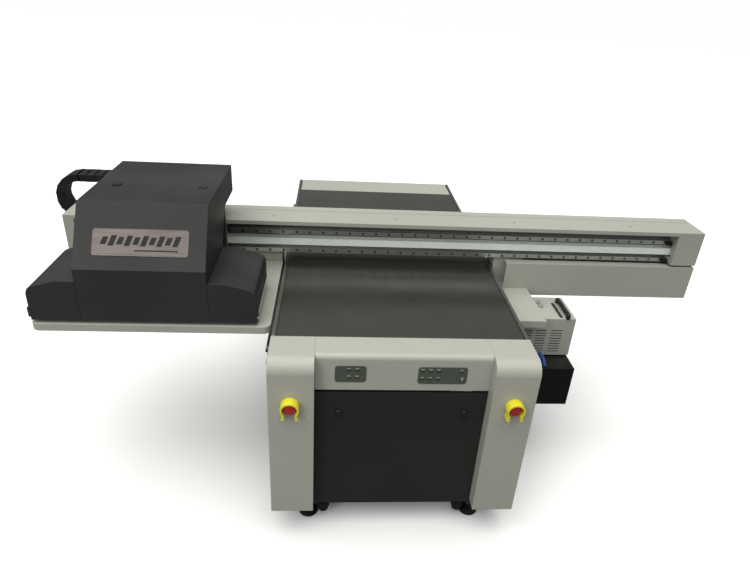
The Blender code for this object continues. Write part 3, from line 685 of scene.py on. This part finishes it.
def cooler():
    """Louvred cooler with its caps, feet and hose, and the black box below it."""
    soften("cooler", 0.0011, 2)
    soften("power_box", 0.0011, 2)
    soften("cooler_handle", 0.0030, 3)
    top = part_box("cooler")[1][2]
    # A near-black strip on the cooler's top beside the handle: the handle's shadow, painted on.
    bm = bmesh.new()
    add_block(bm, at(0.758, 0.372, top - 0.0004), at(0.774, 0.505, top + 0.0003), 0.0001, 1)
    add_piece("cooler_handle_recess", bm, "gantry", "cooler_paint", EXTRA["shade_and_joints"])
    bm = bmesh.new()
    for y in (0.470, 0.500):
        add_disc(bm, at(0.700, y, top + 0.006), AXIS_Z, 0.011, 0.012, 20, 0.002)
        add_disc(bm, at(0.700, y, top + 0.016), AXIS_Z, 0.006, 0.010, 16, 0.001)
    add_piece("cooler_caps", bm, "gantry", "cooler_paint")
    bm = bmesh.new()
    for y in (0.375, 0.545):
        for x in (0.575, 0.815):
            add_disc(bm, at(x, y, 0.5302), AXIS_Z, 0.010, 0.0090, 18, 0.001)
    add_piece("cooler_feet", bm, "gantry", "black_plastic")
    # A near-black sheet just behind the louvres: painted shade that shows through the slots.
    bm = bmesh.new()
    add_block(bm, at(0.5640, 0.3640, 0.5400), at(0.8260, 0.3665, 0.7220))
    add_piece("cooler_mesh", bm, "gantry", "cooler_paint", EXTRA["shade_and_joints"])
    path = [
        at(0.690, 0.350, 0.548), at(0.690, 0.325, 0.553), at(0.692, 0.303, 0.549),
        at(0.696, 0.290, 0.535), at(0.698, 0.285, 0.5255),
    ]
    bm = bmesh.new()
    add_tube(bm, path, 0.009, 14)
    add_piece("cooler_hose", bm, "gantry", "black_plastic", EXTRA["hose"])


# ------------------------------------------------------------------ energy chain


def add_link(bm, centre, turn, pivot, wide):
    """One chain link: two side plates that overlap the next link's, and a bar above and below."""
    half_y = 0.0435 if wide else 0.0410
    for side in (-1, 1):
        y = centre.y + side * half_y
        low = Vector((centre.x - 0.0215, y - 0.0012, centre.z - 0.0168))
        high = Vector((centre.x + 0.0215, y + 0.0012, centre.z + 0.0168))
        add_block(bm, low, high, 0.0010, 1, turn, pivot)
    for side in (-1, 1):
        z = centre.z + side * 0.0152
        low = Vector((centre.x - 0.0150, centre.y - half_y, z - 0.0020))
        high = Vector((centre.x + 0.0150, centre.y + half_y, z + 0.0020))
        add_block(bm, low, high, 0.0014, 2, turn, pivot)


def straight_run(name, node, body):
    low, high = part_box(node)
    count = int((high[0] - low[0]) / LINK_PITCH)
    step = (high[0] - low[0]) / count
    _, y, z = middle_of(low, high)
    bm = bmesh.new()
    for i in range(count):
        add_link(bm, Vector((low[0] + (i + 0.5) * step, y, z)), None, None, i % 2)
    add_piece(name, bm, body, "black_plastic", None, (node,))


def chain():
    soften("chain_trough", 0.0008, 1)
    straight_run("chain_lower_links", "chain_lower_run", "gantry")
    straight_run("chain_upper_links", "chain_upper_run", None)
    low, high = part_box("chain_bend")
    centre = Vector((high[0], *middle_of(low, high)[1:]))
    bend = (high[2] - low[2]) / 2 - 0.0175  # radius to the middle of a link
    count = 9
    bm = bmesh.new()
    for i in range(count):
        turn = Matrix.Rotation(-math.pi * (i + 0.5) / count, 3, "Y")
        add_link(bm, centre + Vector((0, 0, bend)), turn, centre, i % 2)
    add_piece("chain_bend_links", bm, "chain_loop", "black_plastic", None, ("chain_bend",))
    hoses(centre, bend)


def hoses(centre, bend):
    """Blue hoses inside the chain: a straight length in each run and a half round in the bend."""
    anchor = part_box("chain_lower_run")[1][0]
    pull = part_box("chain_upper_run")[1][0]
    runs = (("lower", anchor, -bend, "gantry"), ("upper", pull, bend, None))
    for name, far, level, body in runs:
        length = far - centre.x
        bm = bmesh.new()
        for y in HOSE_ROWS:
            spot = centre + Vector((length / 2, y, level))
            add_disc(bm, spot, AXIS_X, HOSE_RADIUS, length, 12)
        add_piece(f"chain_{name}_hoses", bm, body, "black_plastic", EXTRA["hose"])
    steps = 12
    turns = [math.pi * s / steps for s in range(steps + 1)]
    bm = bmesh.new()
    for y in HOSE_ROWS:
        path = [centre + Vector((-bend * math.sin(a), y, bend * math.cos(a))) for a in turns]
        add_tube(bm, path, HOSE_RADIUS, 12)
    add_piece("chain_bend_hoses", bm, "chain_loop", "black_plastic", EXTRA["hose"])


def follow_carriage():
    """Gives the lower run's links and hoses their own meshes, and bakes the upper run's placement
    into the meshes of its links and hoses."""
    for name in ("chain_lower_links", "chain_lower_hoses"):
        obj = bpy.data.objects[name]
        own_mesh(obj)
    for name in ("chain_upper_links", "chain_upper_hoses"):
        obj = bpy.data.objects[name]
        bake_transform(obj)


# ------------------------------------------------------------------ head


def head():
    for node in ("slider", "head_plate"):
        soften(node, 0.0008, 1)
    soften("print_heads", 0.0015)
    for side in SIDES:
        soften(f"{side}_uv_lamp", 0.0015)
        soften(f"{side}_lamp_cover", 0.0011, 2)
    soften("hood_rear_cover", 0.0011, 2)
    soften("hood_front_cover", 0.0011, 2)
    nameplate()
    hood_hinges()
    lamp_fittings()


def nameplate():
    """A thin plate with round corners on the hood's slope, with slanted bars and a line on it."""
    low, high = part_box("nameplate")
    slope = Vector((0, high[1] - low[1], high[2] - low[2]))
    length = slope.length
    slope.normalize()
    out = Vector((0, -slope.z, slope.y))
    heart = Vector(middle_of(low, high))
    turn = Matrix((Vector(AXIS_X), slope, out)).transposed().to_4x4()
    bm = bmesh.new()
    bmesh.ops.create_cube(bm, size=1.0)
    bmesh.ops.scale(bm, vec=(high[0] - low[0], length - 0.001, 0.0014), verts=bm.verts)
    corners = [e for e in bm.edges if abs(e.verts[0].co.z - e.verts[1].co.z) > 0.001]
    round_edges(bm, corners, 0.010, 5)
    rims = [e for e in bm.edges if e.calc_face_angle(0.0) > RIM_ANGLE]
    round_edges(bm, rims, 0.0004, 1)
    bmesh.ops.transform(bm, matrix=Matrix.Translation(heart) @ turn, verts=bm.verts)
    add_piece("nameplate_skin", bm, BODY_OF["nameplate"], "plate_metal", None, ("nameplate",))

    on_plate = Matrix.Translation(heart + out * 0.00085) @ turn
    bm = bmesh.new()
    for i in range(10):
        x = -0.126 + i * 0.028
        tall = 0.019 if i % 2 else 0.014
        add_bar(bm, on_plate, x - 0.0095, 0.006 - tall, x + 0.0095, 0.006 + tall, 0.35)
    add_bar(bm, on_plate, -0.020, -0.0315, 0.132, -0.0265, 0.0)
    ink = MATERIALS["black_plastic"]
    add_piece("nameplate_motif", bm, BODY_OF["nameplate"], "plate_metal", ink)


def add_bar(bm, on_plate, x0, y0, x1, y1, lean):
    """A thin bar in the plate's own plane, leaning along x by this share of its height."""
    made = bmesh.ops.create_cube(bm, size=1.0)["verts"]
    bmesh.ops.scale(bm, vec=(x1 - x0, y1 - y0, 0.0006), verts=made)
    for vert in made:
        vert.co.x += lean * vert.co.y
    bmesh.ops.translate(bm, vec=((x0 + x1) / 2, (y0 + y1) / 2, 0.0), verts=made)
    bmesh.ops.transform(bm, matrix=on_plate, verts=made)


def hood_hinges():
    """The joint between the hood's covers, with two hinges on its axis."""
    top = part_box("hood_rear_cover")[1][2]
    low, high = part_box("hood_front_cover")
    line_low = Vector((low[0] + 0.002, high[1] - 0.0002, top - 0.004))
    line_high = Vector((high[0] - 0.002, high[1] + 0.0022, top + 0.0001))
    bm = bmesh.new()
    add_block(bm, line_low, line_high)
    add_piece("hood_joint_line", bm, "head", "black_plastic", EXTRA["shade_and_joints"])
    rear, front = bmesh.new(), bmesh.new()
    for x in (-1.102, -0.777):
        pin = at(x, 0.400, top)
        add_disc(rear, pin, AXIS_X, 0.0044, 0.032, 16, 0.0004)
        for bm, near, far in ((rear, 0.0048, 0.0125), (front, -0.0125, -0.0048)):
            leaf_low, leaf_high = Vector((-0.016, near, -0.0002)), Vector((0.016, far, 0.0036))
            add_block(bm, pin + leaf_low, pin + leaf_high, 0.0006, 1)
    add_piece("hood_hinge_barrels", rear, "head", "black_plastic")
    add_piece("hood_hinge_leaves", front, "hood_lid", "black_plastic")


def lamp_fittings():
    """Side lamp block at the left, and the strip and cap at the right."""
    low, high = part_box("left_lamp_cover")
    lamp_low = Vector((low[0] - 0.010, low[1] + 0.004, 0.866))
    lamp_high = Vector((low[0] + 0.002, low[1] + 0.200, 0.907))
    bm = bmesh.new()
    add_block(bm, lamp_low, lamp_high, 0.0030, 3)
    add_piece("left_side_lamp", bm, "head", "black_plastic", MATERIALS["hood_paint"])
    low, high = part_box("right_lamp_cover")
    strip_low = Vector((high[0] - 0.0008, low[1] + 0.020, 0.866))
    strip_high = Vector((high[0] + 0.0030, high[1] - 0.020, 0.906))
    bm = bmesh.new()
    add_block(bm, strip_low, strip_high, 0.0012)
    add_piece("right_side_strip", bm, "head", "black_plastic", EXTRA["glass_dark"])
    bm = bmesh.new()
    cap = Vector((high[0] + 0.0010, low[1] + 0.012, 0.874))
    add_disc(bm, cap, AXIS_X, 0.0060, 0.004, 18, 0.0006)
    add_piece("right_side_cap", bm, "head", "black_plastic", EXTRA["bright"])


# ------------------------------------------------------------------ stage


def stage():
    """A round floor just under the feet, paler to the camera than to the light it returns."""
    bm = bmesh.new()
    bmesh.ops.create_circle(bm, cap_ends=True, segments=64, radius=30.0)
    mesh = bpy.data.meshes.new("floor")
    bm.to_mesh(mesh)
    bm.free()
    floor = bpy.data.objects.new("floor", mesh)
    floor.location = (0, 0, -0.0005)
    mat = bpy.data.materials.new("Pale Floor")
    mat.use_nodes = True
    nodes, link = mat.node_tree.nodes, mat.node_tree.links.new
    shader = nodes["Principled BSDF"]
    shader.inputs["Roughness"].default_value = 0.9
    shader.inputs["Specular IOR Level"].default_value = 0.1
    tone = nodes.new("ShaderNodeMix")
    tone.data_type = "RGBA"
    tone.inputs[6].default_value = (FLOOR_LIGHT, FLOOR_LIGHT, FLOOR_LIGHT, 1.0)
    tone.inputs[7].default_value = (FLOOR_SEEN, FLOOR_SEEN, FLOOR_SEEN, 1.0)
    link(nodes.new("ShaderNodeLightPath").outputs["Is Camera Ray"], tone.inputs[0])
    link(tone.outputs[2], shader.inputs["Base Color"])
    mesh.materials.append(mat)
    bpy.context.scene.collection.objects.link(floor)


def surroundings():
    """White all round, with its own strength as light, in reflections and to the camera."""
    world = bpy.data.worlds.new("Studio")
    world.use_nodes = True
    nodes, link = world.node_tree.nodes, world.node_tree.links.new
    nodes["Background"].inputs["Color"].default_value = (1.0, 1.0, 1.0, 1.0)
    ray = nodes.new("ShaderNodeLightPath")
    soft = nodes.new("ShaderNodeMapRange")
    soft.inputs["To Min"].default_value = WORLD_LIGHT
    soft.inputs["To Max"].default_value = WORLD_MIRRORED
    link(ray.outputs["Is Glossy Ray"], soft.inputs["Value"])
    seen = nodes.new("ShaderNodeMix")
    seen.inputs[3].default_value = WORLD_SEEN
    link(ray.outputs["Is Camera Ray"], seen.inputs[0])
    link(soft.outputs["Result"], seen.inputs[2])
    link(seen.outputs[0], nodes["Background"].inputs["Strength"])
    bpy.context.scene.world = world


def lights():
    """Broad light from the ceiling, and a small fill from the front left."""
    data = bpy.data.lights.new("Ceiling", "SUN")
    data.energy = 3.1
    data.angle = math.radians(75)
    data.color = (1.0, 0.995, 0.965)
    ceiling = bpy.data.objects.new("Ceiling", data)
    ceiling.rotation_euler = (math.radians(9), math.radians(-10), 0.0)
    bpy.context.scene.collection.objects.link(ceiling)
    data = bpy.data.lights.new("Front Left", "AREA")
    data.shape = "SQUARE"
    data.size = 1.4
    data.energy = 36
    fill = bpy.data.objects.new("Front Left", data)
    place, target = Vector((-2.6, -4.4, 3.0)), Vector((-0.2, -0.3, 0.7))
    fill.location = place
    fill.rotation_euler = (target - place).to_track_quat("-Z", "Y").to_euler()
    bpy.context.scene.collection.objects.link(fill)


def camera():
    data = bpy.data.cameras.new("Camera")
    data.lens = CAMERA_LENS
    data.sensor_width = 36.0
    data.clip_end = 100.0
    cam = bpy.data.objects.new("Camera", data)
    cam.location = at(*CAMERA_PLACE)
    cam.rotation_euler = tuple(math.radians(a) for a in CAMERA_TURN)
    bpy.context.scene.collection.objects.link(cam)
    bpy.context.scene.camera = cam


def main():
    cabinet()
    table_top()
    panels()
    stops()
    door_locks()
    gantry()
    cooler()
    chain()
    head()
    follow_carriage()
    stage()
    surroundings()
    lights()
    camera()
    bpy.context.scene.view_settings.view_transform = "Standard"


main()
